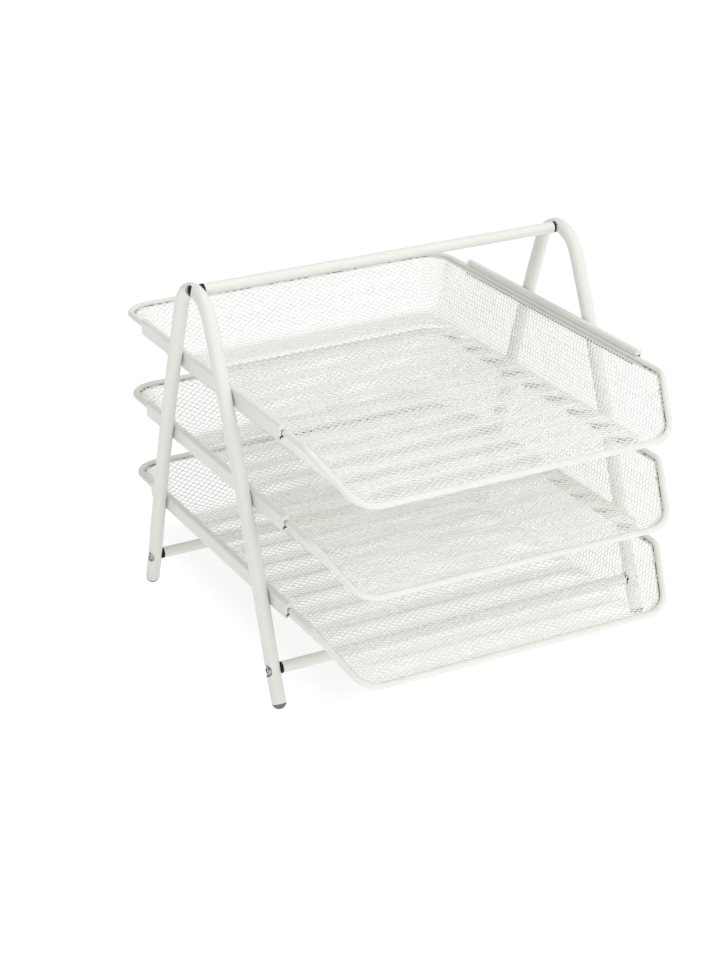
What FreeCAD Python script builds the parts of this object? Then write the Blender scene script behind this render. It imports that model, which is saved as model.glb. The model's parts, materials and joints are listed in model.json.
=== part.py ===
import FreeCAD, Part
import math
import os

Vec = FreeCAD.Vector

# Three-tier document tray stack. X runs across the stack, -Y is the open front, Z is up.
# The origin is on the table, under the middle of the trays. Lengths in millimetres, angles in degrees.

# Side frames: one bent steel tube each, a round apex and two splayed legs
tube_diameter = 10.0
tube_wall = 1.0
frame_spacing = 284.0       # between the two tubes' centre lines
frame_back = 12.0           # frames' middle plane, behind the trays' middle
apex_height = 261.2         # tube's centre line at the apex
apex_bend_radius = 25.6
leg_top_angle = 22.9        # leg's lean from upright, just under the apex bend
leg_low_angle = 16.6        # lean at the cross bars, after the leg's gentle bow
foot_angle = 20.9           # lean under the cross bars
foot_bend_radius = 60.0
bar_height = 25.4           # cross bars' centre line

# Handle and cross bars: thin tubes with a threaded insert pressed into each end
bar_diameter = 8.0
bar_wall = 1.0
insert_length = 12.0
press_clearance = 0.05

# Screws from outside, each in a pressed seat, with a saddle spacer between tube and bar
screw_diameter = 4.0
screw_length = 18.0
screw_head_diameter = 8.0
screw_head_height = 2.4
screw_head_rim = 0.8
screw_clearance = 0.2       # round the shank in tube and spacer
seat_depth = 2.5            # below the tube's outer side
seat_margin = 0.6           # round the screw's head
spacer_diameter = 8.0
spacer_thickness = 1.4      # over the crown of the tube
spacer_rim = 2.0            # round its edge, hollowed to the tube

# Feet: domed plugs in the tube ends, each with a small flat on the table
foot_dome_height = 4.0
foot_flat_depth = 0.35
foot_stem_length = 10.0

# Rails: folded sheet channels, welded to the inner sides of the legs, open inwards
rail_length = 231.0
rail_height = 10.0
rail_sheet = 1.2
rail_ledge_width = 7.0
rail_top_width = 5.0
rail_lip_height = 2.0
rail_bend_radius = 0.6
rail_weld_gap = 0.1

# Tray rims: one closed loop of rod each, level at the back and sides, dropped at the front
tray_names = ("bottom", "middle", "top")
lowest_rim_height = 72.1
tray_pitch = 63.2
rim_diameter = 4.5
rim_length = 347.2          # front rod to rear rod, on the centre lines
rim_seat_gap = 0.3          # over the rail's ledge
rim_side_gap = 0.5          # from the rail's web
rim_rear_radius = 20.0
rim_front_radius = 20.0
rim_bend_radius = 12.0
front_drop = 30.0           # front rod below the level sides
front_reach = 39.5          # from the side bends to the front rod, along Y

# Tray baskets: one pressed sheet each, with beads across the floor
basket_sheet = 0.8
basket_depth = 35.0         # rim's centre line to the floor's upper face
basket_edge = 1.7           # basket's edge above the rim's centre line
weld_bite = 0.3             # rod let into the basket's outer face
side_lean = 31.0            # walls' lean from upright
rear_lean = 32.0
front_lean = 30.0
floor_rear_radius = 14.0
front_corner_share = 0.64   # front corners' radius at the floor, of the rim's front radius
front_flare_share = 0.2     # growth of the front corners' radius with height
floor_fillet = 12.0
rib_count = 10
rib_pitch = 28.75
first_rib_reach = 29.5      # first bead behind the front rod
rib_width = 17.0
rib_height = 2.2
rib_end_margin = 1.5        # from the floor's side edges, inside the fillets

# Coarse grid of openings in the baskets, in place of the fine mesh
opening_columns = 8
opening_bar = 6.5           # left between the openings
opening_margin = 2.0        # from the floor's fillets
opening_wall_low = 7.0      # wall openings' lower edge over the floor
opening_wall_top = 6.0      # their upper edge under the rim's centre line

# Past the faces that a cut goes through
overrun = 6.0

tube_radius = tube_diameter / 2
rim_radius = rim_diameter / 2
frame_x = frame_spacing / 2
web_x = frame_x - tube_radius - rail_weld_gap
bar_end_x = frame_x - tube_radius - spacer_thickness
seat_x = frame_x + tube_radius - seat_depth
rim_x = web_x - rail_sheet - rim_side_gap - rim_radius
rim_y = rim_length / 2
bend_y = front_reach - rim_y


def sine(angle):
    return math.sin(math.radians(angle))


def cosine(angle):
    return math.cos(math.radians(angle))


def tangent(angle):
    return math.tan(math.radians(angle))


def turn(start, first_angle, last_angle, radius):
    """Middle and end, in (y, z), of a leg's arc from one lean to another."""
    way = math.copysign(1, last_angle - first_angle)

    def at(angle):
        y = start[0] + way * radius * (cosine(first_angle) - cosine(angle))
        z = start[1] + way * radius * (sine(first_angle) - sine(angle))
        return (y, z)

    return at((first_angle + last_angle) / 2), at(last_angle)


# Rear leg's centre line in (y, z), from the apex down; the front leg is its mirror image
dome_radius = (tube_radius ** 2 + foot_dome_height ** 2) / (2 * foot_dome_height)
tube_end_height = dome_radius - foot_flat_depth - (dome_radius - foot_dome_height) * cosine(foot_angle)
apex = (0, apex_height)
apex_middle, bow_start = turn(apex, 90, leg_top_angle, apex_bend_radius)
bow_radius = (bow_start[1] - bar_height) / (sine(leg_top_angle) - sine(leg_low_angle))
bow_middle, bar_point = turn(bow_start, leg_top_angle, leg_low_angle, bow_radius)
foot_middle, foot_start = turn(bar_point, leg_low_angle, foot_angle, foot_bend_radius)
foot_run = (foot_start[1] - tube_end_height) / cosine(foot_angle)

# Where the bars meet the frames, in (y, z) from the frames' middle plane
bar_places = {
    "handle": apex,
    "front": (-bar_point[0], bar_point[1]),
    "rear": bar_point,
}


def round_bar(path, diameter):
    """Solid of round section along edges that run on from one another."""
    spans = []
    for edge in path:
        start = edge.valueAt(edge.FirstParameter)
        along = edge.tangentAt(edge.FirstParameter)
        section = Part.Face(Part.Wire(Part.makeCircle(diameter / 2, start, along)))
        if isinstance(edge.Curve, Part.Line):
            spans.append(section.extrude(edge.valueAt(edge.LastParameter) - start))
        else:
            angle = math.degrees(edge.LastParameter - edge.FirstParameter)
            spans.append(section.revolve(edge.Curve.Center, edge.Curve.Axis, angle))
    return spans[0].multiFuse(spans[1:]).removeSplitter()


def pin(x, place, diameter, length):
    """Cylinder along X from x, about a bar's axis; a negative length runs to the left."""
    centre = Vec(x, place[0] + frame_back, place[1])
    return Part.makeCylinder(diameter / 2, abs(length), centre, Vec(math.copysign(1, length), 0, 0))


def leg_tube(side, end, diameter, extra):
    """One half of a side frame as a solid bar, from the apex to the tube's end and extra past it."""
    def spot(point):
        return Vec(side * frame_x, end * point[0] + frame_back, point[1])

    last_run = foot_run + extra
    tube_end = (foot_start[0] + last_run * sine(foot_angle), foot_start[1] - last_run * cosine(foot_angle))
    path = [
        Part.Arc(spot(apex), spot(apex_middle), spot(bow_start)).toShape(),
        Part.Arc(spot(bow_start), spot(bow_middle), spot(bar_point)).toShape(),
        Part.Arc(spot(bar_point), spot(foot_middle), spot(foot_start)).toShape(),
        Part.LineSegment(spot(foot_start), spot(tube_end)).toShape(),
    ]
    return round_bar(path, diameter)


def frame_bar(side, diameter, extra):
    """A whole side frame as a solid bar."""
    return leg_tube(side, 1, diameter, extra).fuse(leg_tube(side, -1, diameter, extra))


def side_frame(side):
    """Bent tube with a pressed seat and a hole for each screw."""
    outside = frame_bar(side, tube_diameter, 0)
    inside = frame_bar(side, tube_diameter - 2 * tube_wall, overrun)
    seat_diameter = screw_head_diameter + 2 * seat_margin
    hole_diameter = screw_diameter + 2 * screw_clearance
    for place in bar_places.values():
        seat = pin(side * seat_x, place, seat_diameter, side * (seat_depth + overrun))
        backed = pin(side * (seat_x - tube_wall), place, seat_diameter + 2 * tube_wall, side * tube_diameter)
        outside = outside.cut(seat)
        inside = inside.cut(backed)
    tube = outside.cut(inside)
    for place in bar_places.values():
        hole = pin(side * (frame_x + tube_diameter), place, hole_diameter, -side * 2 * tube_diameter)
        tube = tube.cut(hole)
    return tube.removeSplitter()


def cross_bar(place):
    """Thin tube between the two side frames."""
    length = 2 * bar_end_x
    bore = pin(-bar_end_x - overrun, place, bar_diameter - 2 * bar_wall, length + 2 * overrun)
    return pin(-bar_end_x, place, bar_diameter, length).cut(bore)


def threaded_insert(side, place):
    """Sleeve pressed into a bar's end."""
    outer = bar_diameter - 2 * bar_wall - 2 * press_clearance
    sleeve = pin(side * bar_end_x, place, outer, -side * insert_length)
    bore = pin(side * (bar_end_x + overrun), place, screw_diameter + 2 * press_clearance,
               -side * (insert_length + 2 * overrun))
    return sleeve.cut(bore)


def saddle_spacer(side, place):
    """Washer whose outer face is hollowed to sit round the frame's tube."""
    blank = pin(side * bar_end_x, place, spacer_diameter, side * spacer_rim)
    bore = pin(side * (frame_x + overrun), place, screw_diameter + 2 * screw_clearance,
               -side * (tube_diameter + 2 * overrun))
    return blank.cut(frame_bar(side, tube_diameter, 0)).cut(bore)


def screw(side, place):
    """Pan-head screw, head outwards, seated in the frame's tube."""
    y = place[0] + frame_back
    z = place[1]
    head_radius = screw_head_diameter / 2
    shank_radius = screw_diameter / 2
    crown = screw_head_height - screw_head_rim
    crown_radius = (head_radius ** 2 + crown ** 2) / (2 * crown)
    half_angle = math.degrees(math.asin(head_radius / crown_radius)) / 2

    def spot(out, radius):
        return Vec(side * (seat_x + out), y + radius, z)

    crown_drop = crown_radius * (1 - cosine(half_angle))
    crown_middle = spot(screw_head_height - crown_drop, crown_radius * sine(half_angle))
    corners = [
        spot(screw_head_rim, head_radius),
        spot(0, head_radius),
        spot(0, shank_radius),
        spot(-screw_length, shank_radius),
        spot(-screw_length, 0),
        spot(screw_head_height, 0),
    ]
    edges = [Part.LineSegment(a, b).toShape() for a, b in zip(corners, corners[1:])]
    edges.append(Part.Arc(corners[-1], crown_middle, corners[0]).toShape())
    profile = Part.Face(Part.Wire(edges))
    return profile.revolve(Vec(0, y, z), Vec(1, 0, 0), 360)


def foot(side, end):
    """Domed plug in the end of a leg, cut flat where it stands."""
    stem_radius = tube_radius - tube_wall - press_clearance
    half_angle = math.degrees(math.asin(tube_radius / dome_radius)) / 2
    dome_middle = Vec(dome_radius * sine(half_angle), 0,
                      dome_radius * (1 - cosine(half_angle)) - foot_dome_height)
    corners = [
        Vec(0, 0, -foot_dome_height),
        Vec(0, 0, foot_stem_length),
        Vec(stem_radius, 0, foot_stem_length),
        Vec(stem_radius, 0, 0),
        Vec(tube_radius, 0, 0),
    ]
    edges = [Part.LineSegment(a, b).toShape() for a, b in zip(corners, corners[1:])]
    edges.append(Part.Arc(corners[-1], dome_middle, corners[0]).toShape())
    plug = Part.Face(Part.Wire(edges)).revolve(Vec(0, 0, 0), Vec(0, 0, 1), 360)
    plug.rotate(Vec(0, 0, 0), Vec(1, 0, 0), end * foot_angle)
    tube_end_y = foot_start[0] + foot_run * sine(foot_angle)
    plug.translate(Vec(side * frame_x, end * tube_end_y + frame_back, tube_end_height))
    table = Part.makeBox(2 * tube_diameter, 2 * tube_diameter, tube_diameter)
    table.translate(Vec(side * frame_x - tube_diameter, end * tube_end_y + frame_back - tube_diameter,
                        -tube_diameter))
    return plug.cut(table)


def rail(side, rim_height):
    """Folded channel under, beside and over one side of a tray's rim."""
    foot_of_web = rim_height - rim_radius - rim_seat_gap - rail_sheet
    top_of_web = foot_of_web + rail_height
    inner = rail_sheet
    corners = [
        (0, foot_of_web),
        (0, top_of_web),
        (rail_top_width, top_of_web),
        (rail_top_width, top_of_web - rail_lip_height),
        (rail_top_width - inner, top_of_web - rail_lip_height),
        (rail_top_width - inner, top_of_web - inner),
        (inner, top_of_web - inner),
        (inner, foot_of_web + inner),
        (rail_ledge_width, foot_of_web + inner),
        (rail_ledge_width, foot_of_web),
    ]
    front_y = frame_back - rail_length / 2
    points = [Vec(side * (web_x - depth), front_y, height) for depth, height in corners]
    channel = Part.Face(Part.makePolygon(points + points[:1])).extrude(Vec(0, rail_length, 0))

    def bends(spots):
        chosen = []
        for edge in channel.Edges:
            middle = edge.CenterOfMass
            near = [p for p in spots if math.hypot(p.x - middle.x, p.z - middle.z) < rail_sheet / 2]
            if near and edge.Length > rail_length / 2:
                chosen.append(edge)
        return chosen

    channel = channel.makeFillet(rail_bend_radius + rail_sheet, bends(points[0:3]))
    return channel.makeFillet(rail_bend_radius, bends(points[5:8]))


def rounded_path(corners, radii):
    """Straight runs between corners, with a tangent arc at each inner corner."""
    edges = []
    start = corners[0]
    for before, corner, after, radius in zip(corners, corners[1:], corners[2:], radii):
        arrive = (corner - before).normalize()
        leave = (after - corner).normalize()
        half_turn = arrive.getAngle(leave) / 2
        reach = radius * math.tan(half_turn)
        inward = (leave - arrive).normalize()
        arc_start = corner - arrive * reach
        arc_middle = corner + inward * (radius / math.cos(half_turn) - radius)
        arc_end = corner + leave * reach
        edges.append(Part.LineSegment(start, arc_start).toShape())
        edges.append(Part.Arc(arc_start, arc_middle, arc_end).toShape())
        start = arc_end
    edges.append(Part.LineSegment(start, corners[-1]).toShape())
    return edges


def tray_rim():
    """Closed loop of rod, with the level sides at height zero."""
    front_x = rim_x - front_drop * tangent(side_lean)
    corners = [
        Vec(0, rim_y, 0),
        Vec(rim_x, rim_y, 0),
        Vec(rim_x, bend_y, 0),
        Vec(front_x, -rim_y, -front_drop),
        Vec(0, -rim_y, -front_drop),
    ]
    path = rounded_path(corners, (rim_rear_radius, rim_bend_radius, rim_front_radius))
    half = round_bar(path, rim_diameter)
    return half.fuse(half.mirror(Vec(0, 0, 0), Vec(1, 0, 0))).removeSplitter()


def pan_outline(inset, height):
    """Basket's level outline at one height, moved in square to its walls from the rim's centre line."""
    x = rim_x + height * tangent(side_lean) - inset / cosine(side_lean)
    rear = rim_y + height * tangent(rear_lean) - inset / cosine(rear_lean)
    front = -rim_y - (height + front_drop) * tangent(front_lean) + inset / cosine(front_lean)
    rear_flare = (rim_rear_radius - floor_rear_radius) / basket_depth
    rear_radius = rim_rear_radius + height * rear_flare - inset
    front_floor_radius = rim_front_radius * front_corner_share
    front_radius = front_floor_radius + (height + basket_depth) * front_flare_share - inset
    edges = []
    start = Vec(0, rear, height)
    corners = (
        (x, rear, rear_radius),
        (x, front, front_radius),
        (-x, front, front_radius),
        (-x, rear, rear_radius),
    )
    for number, (corner_x, corner_y, radius) in enumerate(corners):
        corner = Vec(corner_x, corner_y, height)
        sideways = Vec(math.copysign(1, corner_x), 0, 0)
        endways = Vec(0, math.copysign(1, corner_y), 0)
        arrive, leave = (sideways, endways) if number % 2 == 0 else (endways, sideways)
        arc_start = corner - arrive * radius
        arc_end = corner - leave * radius
        arc_middle = corner - (arrive + leave) * radius + (arrive + leave).normalize() * radius
        edges.append(Part.LineSegment(start, arc_start).toShape())
        edges.append(Part.Arc(arc_start, arc_middle, arc_end).toShape())
        start = arc_end
    edges.append(Part.LineSegment(start, Vec(0, rear, height)).toShape())
    return Part.Wire(edges)


def pan(inset, floor_height, fillet):
    """Solid of the tray's inside, down to a floor with rounded edges."""
    block = Part.makeLoft([pan_outline(inset, floor_height), pan_outline(inset, overrun)], True, True)
    low_edges = [e for e in block.Edges if abs(e.BoundBox.ZMax - floor_height) < basket_sheet / 2]
    return block.makeFillet(fillet, low_edges)


def floor_edge():
    """Half width of the floor's upper face, out to its sharp side edges."""
    wall_inset = rim_radius - weld_bite + basket_sheet
    return rim_x - basket_depth * tangent(side_lean) - wall_inset / cosine(side_lean)


def floor_front():
    """The floor's sharp front edge, along Y."""
    wall_inset = rim_radius - weld_bite + basket_sheet
    return (basket_depth - front_drop) * tangent(front_lean) + wall_inset / cosine(front_lean) - rim_y


def rib_place(number):
    return first_rib_reach + number * rib_pitch - rim_y


def floor_beads(radius, setback):
    """Round-topped bars across the floor with sloped ends, one for each bead."""
    bead_end = floor_edge() - rib_end_margin - setback
    crown_radius = (rib_width ** 2 / 4 + rib_height ** 2) / (2 * rib_height)
    centre_height = rib_height - basket_depth - crown_radius
    low = centre_height - radius
    high = centre_height + radius
    beads = []
    for number in range(rib_count):
        y = rib_place(number)
        core = Part.makeCylinder(radius, 2 * rim_x, Vec(-rim_x, y, centre_height), Vec(1, 0, 0))
        low_end = bead_end - basket_depth - low
        high_end = bead_end - basket_depth - high
        ends = [
            Vec(-low_end, y - rib_width, low),
            Vec(low_end, y - rib_width, low),
            Vec(high_end, y - rib_width, high),
            Vec(-high_end, y - rib_width, high),
        ]
        sloped = Part.Face(Part.makePolygon(ends + ends[:1])).extrude(Vec(0, 2 * rib_width, 0))
        beads.append(core.common(sloped))
    return beads[0].multiFuse(beads[1:])


def mesh_openings():
    """Blocks that open the basket's floor and walls, in rows between the beads."""
    front_start = floor_front() + floor_fillet * tangent((90 - front_lean) / 2) + opening_margin
    half_field = floor_edge() - floor_fillet * tangent((90 - side_lean) / 2) - opening_margin
    column_pitch = (2 * half_field + opening_bar) / opening_columns
    column_width = column_pitch - opening_bar
    wall_low = opening_wall_low - basket_depth
    wall_height = -opening_wall_top - wall_low
    columns = [number * column_pitch - half_field for number in range(opening_columns)]
    blocks = []
    for number in range(-1, rib_count):
        y = max(rib_place(number) + opening_bar / 2, front_start)
        row_length = rib_place(number + 1) - opening_bar / 2 - y
        for x in columns:
            corner = Vec(x, y, -basket_depth - overrun)
            blocks.append(Part.makeBox(column_width, row_length, 2 * overrun, corner))
        # beside the dropped front the side walls stay closed
        if number > 0:
            blocks.append(Part.makeBox(frame_spacing, row_length, wall_height, Vec(-frame_x, y, wall_low)))
    rear_start = rib_place(rib_count)
    for x in columns:
        blocks.append(Part.makeBox(column_width, rim_y, wall_height, Vec(x, rear_start, wall_low)))
    return blocks


def tray_basket(rim):
    """Pressed openwork basket hung inside the rim, with the level sides at height zero."""
    crown_radius = (rib_width ** 2 / 4 + rib_height ** 2) / (2 * rib_height)
    outer_inset = rim_radius - weld_bite
    outside = pan(outer_inset, -basket_depth - basket_sheet, floor_fillet + basket_sheet)
    inside = pan(outer_inset + basket_sheet, -basket_depth, floor_fillet)
    outside = outside.cut(floor_beads(crown_radius - basket_sheet, basket_sheet * (math.sqrt(2) - 1)))
    inside = inside.cut(floor_beads(crown_radius, 0))
    slope = front_drop / front_reach
    front_end = -rim_y - overrun
    above = [
        Vec(-frame_x, rim_y + overrun, basket_edge),
        Vec(-frame_x, bend_y, basket_edge),
        Vec(-frame_x, front_end, basket_edge - (bend_y - front_end) * slope),
        Vec(-frame_x, front_end - front_drop, 2 * overrun),
        Vec(-frame_x, rim_y + overrun, 2 * overrun),
    ]
    cover = Part.Face(Part.makePolygon(above + above[:1])).extrude(Vec(frame_spacing, 0, 0))
    return outside.cut(inside).cut(cover).cut(rim).cut(mesh_openings())


def raised(shape, height):
    """Copy of a shape, lifted."""
    copy = shape.copy()
    copy.translate(Vec(0, 0, height))
    return copy


nodes = {}
sides = {"left": -1, "right": 1}
ends = {"front": -1, "rear": 1}

for side_name, side in sides.items():
    nodes[side_name + "_side_frame"] = side_frame(side)
    for bar_name, place in bar_places.items():
        prefix = bar_name + "_" + side_name
        nodes[prefix + "_screw"] = screw(side, place)
        nodes[prefix + "_spacer"] = saddle_spacer(side, place)
        nodes[prefix + "_insert"] = threaded_insert(side, place)
    for end_name, end in ends.items():
        nodes[end_name + "_" + side_name + "_foot"] = foot(side, end)

nodes["handle_bar"] = cross_bar(bar_places["handle"])
nodes["front_cross_bar"] = cross_bar(bar_places["front"])
nodes["rear_cross_bar"] = cross_bar(bar_places["rear"])

rim = tray_rim()
basket = tray_basket(rim)
for number, tray_name in enumerate(tray_names):
    rim_height = lowest_rim_height + number * tray_pitch
    nodes[tray_name + "_tray_rim"] = raised(rim, rim_height)
    nodes[tray_name + "_tray_basket"] = raised(basket, rim_height)
    for side_name, side in sides.items():
        nodes[tray_name + "_" + side_name + "_rail"] = rail(side, rim_height)

os.makedirs("parts", exist_ok=True)
for name, shape in nodes.items():
    shape.exportStep("parts/" + name + ".step")
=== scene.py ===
import json
import math

import bpy
from bpy.props import FloatProperty, FloatVectorProperty, IntProperty, PointerProperty
from mathutils import Matrix, Vector

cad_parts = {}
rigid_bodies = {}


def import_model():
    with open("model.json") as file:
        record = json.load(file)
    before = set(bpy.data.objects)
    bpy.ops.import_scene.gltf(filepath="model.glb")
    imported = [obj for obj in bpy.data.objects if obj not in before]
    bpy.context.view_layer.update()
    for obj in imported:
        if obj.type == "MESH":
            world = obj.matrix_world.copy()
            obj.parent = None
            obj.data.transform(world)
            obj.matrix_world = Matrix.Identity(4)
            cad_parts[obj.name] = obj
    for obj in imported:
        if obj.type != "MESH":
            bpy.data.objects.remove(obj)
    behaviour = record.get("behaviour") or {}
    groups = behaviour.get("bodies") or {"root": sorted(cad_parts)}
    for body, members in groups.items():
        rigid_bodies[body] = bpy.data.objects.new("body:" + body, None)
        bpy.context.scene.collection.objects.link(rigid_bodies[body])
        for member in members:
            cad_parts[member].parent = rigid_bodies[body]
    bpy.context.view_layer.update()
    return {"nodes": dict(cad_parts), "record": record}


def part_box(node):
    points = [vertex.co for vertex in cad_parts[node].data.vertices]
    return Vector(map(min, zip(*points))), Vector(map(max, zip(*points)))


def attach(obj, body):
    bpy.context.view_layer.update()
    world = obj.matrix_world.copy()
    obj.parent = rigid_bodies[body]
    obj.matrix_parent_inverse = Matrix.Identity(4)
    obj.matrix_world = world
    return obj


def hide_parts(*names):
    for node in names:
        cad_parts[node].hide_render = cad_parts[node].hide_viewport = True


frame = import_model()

bl_info = {
    "name": "Document tray stack",
    "version": (1, 0, 0),
    "blender": (4, 5, 0),
    "location": "View3D > Sidebar > Trays",
    "description": "Dresses a stack of sliding mesh document trays on tubular side frames",
    "category": "Object",
}

TIERS = ("bottom", "middle", "top")
SIDES = ("left", "right")
BARS = ("handle", "front", "rear")
ENDS = ("front", "rear")
WHITE = (1, 1, 1, 1)
# A distance that counts as none, and a small step to measure slopes with
TINY = 1e-6
STEP = 1e-5
# A face with this much of its normal along a way faces it
FACING = 0.9
# Edges that turn by more stay sharp; the second is for the hem and the seam
CREASE = math.radians(35)
SHEET_CREASE = math.radians(40)
# Most of a noise's values lie between these
NOISE_LOW = 0.3
NOISE_HIGH = 0.7
# Walls of the flat sheet, before trimming, as a share of the basket's depth
SPARE = 1.15
# Steps over a screw's dome and round it, and turns of the shank without a thread
DOME_STEPS = 8
ROUND_STEPS = 32
PLAIN_TURNS = 2

# Rod, basket sheet and rail lip as in the solids
ROD_RADIUS = 0.00225
SHEET = 0.0008
RAIL_LIP = 0.002
# The lowest tray's rim and basket give the sizes for all three
rim_low, rim_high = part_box(TIERS[0] + "_tray_rim")
basket_low, basket_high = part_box(TIERS[0] + "_tray_basket")
RIM_X = rim_high.x - ROD_RADIUS
RIM_Y = rim_high.y - ROD_RADIUS
RIM_Z = rim_high.z - ROD_RADIUS
FRONT_DROP = rim_high.z - rim_low.z - 2 * ROD_RADIUS
BASKET_DEPTH = RIM_Z - basket_low.z - SHEET


class BasketForm(bpy.types.PropertyGroup):
    """Shape of a pressed basket, on the middle of its sheet."""
    side_lean: FloatProperty(
        name="Side lean", description="Side walls' lean from upright",
        default=math.radians(31.0), subtype="ANGLE")
    rear_lean: FloatProperty(
        name="Rear lean", description="Rear wall's lean from upright",
        default=math.radians(32.0), subtype="ANGLE")
    front_lean: FloatProperty(
        name="Front lean", description="Front lip's lean from upright",
        default=math.radians(30.0), subtype="ANGLE")
    depth: FloatProperty(
        name="Depth", description="Rim's centre line to the floor's upper face",
        default=BASKET_DEPTH, unit="LENGTH")
    inset: FloatProperty(
        name="Inset", description="Middle of the sheet, square to the walls from the rim's centre line",
        default=0.00235, unit="LENGTH")
    fillet: FloatProperty(
        name="Floor fillet", description="Bend radius between floor and walls",
        default=0.0124, unit="LENGTH")
    rear_radius: FloatProperty(
        name="Rear corner", description="Rear corners' radius at the rim",
        default=0.020, unit="LENGTH")
    rear_flare: FloatProperty(
        name="Rear flare", description="Growth of the rear corners' radius with height",
        default=6 / 35)
    front_radius: FloatProperty(
        name="Front corner", description="Front corners' radius at the rim's height",
        default=0.0198, unit="LENGTH")
    front_flare: FloatProperty(
        name="Front flare", description="Growth of the front corners' radius with height",
        default=0.2)
    front_reach: FloatProperty(
        name="Front reach", description="Side bends to the front rod, along the tray",
        default=0.0395, unit="LENGTH")
    bead_count: IntProperty(
        name="Beads", description="Beads across the floor", default=10)
    bead_pitch: FloatProperty(
        name="Bead pitch", description="From bead to bead", default=0.02875, unit="LENGTH")
    bead_start: FloatProperty(
        name="First bead", description="From the front rod", default=0.0295, unit="LENGTH")
    bead_width: FloatProperty(
        name="Bead width", description="Width of a bead", default=0.017, unit="LENGTH")
    bead_height: FloatProperty(
        name="Bead height", description="Height of a bead", default=0.0028, unit="LENGTH")
    bead_margin: FloatProperty(
        name="Bead end", description="Beads' ends from the floor's side edges, inside the fillets",
        default=0.0015, unit="LENGTH")
    bead_taper: FloatProperty(
        name="Bead taper", description="Length over which a bead runs out at its ends",
        default=0.020, unit="LENGTH")


class RailForm(bpy.types.PropertyGroup):
    """Folded rails, with end tabs and a foot that the solids don't have."""
    sheet: FloatProperty(
        name="Rail sheet", description="Thickness of the rails", default=0.0012, unit="LENGTH")
    top_width: FloatProperty(
        name="Flange", description="Width of the top flange", default=0.005, unit="LENGTH")
    tab_gap: FloatProperty(
        name="Tab gap", description="From the rod up to the tabs at the rails' ends",
        default=0.0002, unit="LENGTH")
    tab_bevel: FloatProperty(
        name="Tab bevel", description="Bevel of the tabs", default=0.0002, unit="LENGTH")
    foot_drop: FloatProperty(
        name="Foot drop", description="How far the web reaches under the solid's",
        default=0.0010, unit="LENGTH")
    foot_height: FloatProperty(
        name="Foot height", description="Height of the web's square foot over the solid's lower edge",
        default=0.0022, unit="LENGTH")
    foot_proud: FloatProperty(
        name="Foot's face", description="How far the foot stands proud of the web",
        default=0.00004, unit="LENGTH")
    lip_drop: FloatProperty(
        name="Lip", description="How far the lip reaches closer to the rod than in the solid",
        default=0.0018, unit="LENGTH")


class MeshForm(bpy.types.PropertyGroup):
    """Expanded mesh: diamonds, the plain hem under the rim, and the seam between hem and rod, which carries
    painted shade.
    """
    pitch_x: FloatProperty(
        name="Pitch across", description="Diamond's width", default=0.0060, unit="LENGTH")
    pitch_y: FloatProperty(
        name="Pitch along", description="Diamond's length", default=0.00365, unit="LENGTH")
    strand: FloatProperty(
        name="Strand", description="Width of a strand", default=0.00068, unit="LENGTH")
    strand_depth: FloatProperty(
        name="Strand depth", description="Thickness of a strand, square to the sheet",
        default=0.00095, unit="LENGTH")
    edge: FloatProperty(
        name="Edge", description="Hem's upper edge under the rim's centre line",
        default=0.00075, unit="LENGTH")
    hem: FloatProperty(
        name="Hem", description="Hem's lower edge under the rim's centre line",
        default=0.0015, unit="LENGTH")
    hem_sheet: FloatProperty(
        name="Hem sheet", description="Thickness of the hem", default=0.0009, unit="LENGTH")
    seam_top: FloatProperty(
        name="Seam's top", description="Upper edge of the seam over the hem's upper edge",
        default=0.00045, unit="LENGTH")
    seam_foot: FloatProperty(
        name="Seam's foot", description="Lower edge of the seam under the hem's upper edge",
        default=0.0005, unit="LENGTH")
    seam_depth: FloatProperty(
        name="Seam's depth", description="From the hem's back towards the rod",
        default=0.0010, unit="LENGTH")
    seam_offset: FloatProperty(
        name="Seam's offset", description="-1 is on the sheet's back, and less is clear of it", default=-1.4)
    # The seam's painted shade turns darker towards the front corners, past this distance before the middle
    seam_darker_front: FloatProperty(
        name="Bare corner", description="The seam is barer further than this before the middle",
        default=0.125, unit="LENGTH")
    seam_darker_fade: FloatProperty(
        name="Bare fade", description="Length over which it turns barer", default=0.010, unit="LENGTH")
    filled_side: FloatProperty(
        name="Filled side", description="Sides past this distance from the middle have a filled seam",
        default=0.1275, unit="LENGTH")
    filled_front: FloatProperty(
        name="Filled front", description="The filled seam starts here, before the middle",
        default=0.108, unit="LENGTH")


class ScrewForm(bpy.types.PropertyGroup):
    """Pan-head screws with a cross recess."""
    recess_width: FloatProperty(
        name="Recess width", description="Across a wing of the recess", default=0.0009, unit="LENGTH")
    recess_mouth: FloatProperty(
        name="Recess mouth", description="Wing tip to wing tip, at the cutter's outer end",
        default=0.00529, unit="LENGTH")
    recess_foot: FloatProperty(
        name="Recess foot", description="Wing tip to wing tip, at the foot of the recess",
        default=0.00207, unit="LENGTH")
    recess_depth: FloatProperty(
        name="Recess depth", description="Below the head's crown", default=0.00208, unit="LENGTH")
    cutter_reach: FloatProperty(
        name="Cutter reach", description="Cutter's outer end over the crown",
        default=0.00144, unit="LENGTH")
    first_turn: FloatProperty(
        name="First turn", description="Turn of the handle's screws", default=0.4, subtype="ANGLE")
    next_turn: FloatProperty(
        name="Next turn", description="Further turn from bar to bar", default=0.7, subtype="ANGLE")
    head_radius: FloatProperty(
        name="Head radius", description="Radius of the head", default=0.004, unit="LENGTH")
    head_height: FloatProperty(
        name="Head height", description="Seat to crown", default=0.0024, unit="LENGTH")
    head_rim: FloatProperty(
        name="Head rim", description="Straight rim under the dome", default=0.0008, unit="LENGTH")
    shank_radius: FloatProperty(
        name="Shank radius", description="Radius of the shank", default=0.002, unit="LENGTH")
    thread_depth: FloatProperty(
        name="Thread depth", description="Depth of the thread", default=0.0003, unit="LENGTH")
    thread_pitch: FloatProperty(
        name="Thread pitch", description="From crest to crest", default=0.0007, unit="LENGTH")


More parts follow.
